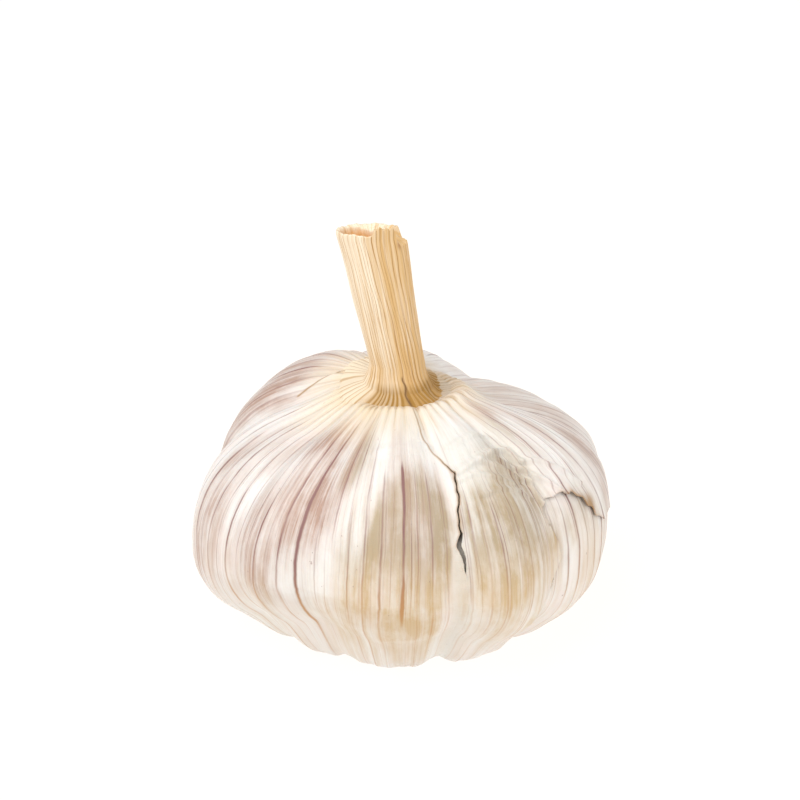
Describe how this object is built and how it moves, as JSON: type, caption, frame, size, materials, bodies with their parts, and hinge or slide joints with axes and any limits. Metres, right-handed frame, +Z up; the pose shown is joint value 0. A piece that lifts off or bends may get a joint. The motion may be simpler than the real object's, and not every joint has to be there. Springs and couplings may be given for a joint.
{
  "type": "garlic bulb",
  "caption": "Dried garlic bulb: lobed cloves in a papery veined skin, a cut dry stem leaning from the neck, and trimmed roots below.",
  "frame": {"origin": "middle of the footprint, on the surface that the bulb stands on", "axes": "+Z up along the bulb's own axis, -Y towards the side with the split skin, +X to the right of that side; the stem leans towards -X"},
  "size_m": [0.0616, 0.061, 0.0598],
  "materials": {
    "skin": "dry papery skin with a faint satin sheen, white with purple and tan veins",
    "stem": "dry straw-coloured fibres, matte",
    "roots": "dry brown cork and cut root stubs, matte"
  },
  "bodies": {
    "root": {"bulb": "skin", "stem": "stem", "roots": "roots"}
  },
  "joints": []
}
